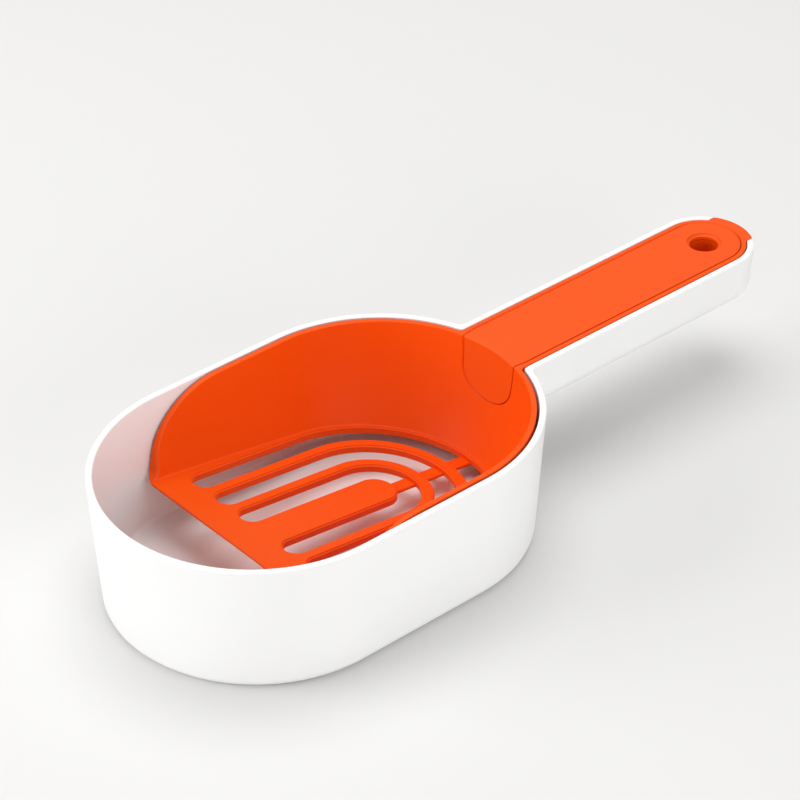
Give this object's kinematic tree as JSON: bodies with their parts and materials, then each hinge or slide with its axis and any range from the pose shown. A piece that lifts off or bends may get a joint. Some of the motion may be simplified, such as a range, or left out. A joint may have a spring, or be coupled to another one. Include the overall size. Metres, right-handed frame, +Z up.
{
  "type": "slotted sand scoop with tray",
  "caption": "Slotted sifting scoop with a straight lip, curved walls and a hollow handle, nested flush in an open white tray with a channel for the handle.",
  "frame": {"origin": "under the middle of the whole object, on the surface that the tray stands on", "axes": "+X from the basin's round front end along the handle, +Y to the side, +Z up"},
  "size_m": [0.3138, 0.1252, 0.0551],
  "materials": {
    "white_plastic": "satin white moulded plastic",
    "orange_plastic": "satin orange moulded plastic",
    "orange_cover_plastic": "satin orange moulded plastic"
  },
  "bodies": {
    "tray": {"tray": "white_plastic"},
    "scoop": {"scoop_walls": "orange_plastic", "sifting_plate": "orange_plastic", "handle_shell": "orange_plastic", "handle_cover": "orange_cover_plastic"}
  },
  "joints": [
    {"name": "scoop_lift", "type": "slide", "parent": "tray", "child": "scoop", "axis": [0, 0, 1], "range_m": [0, 0.08]}
  ]
}
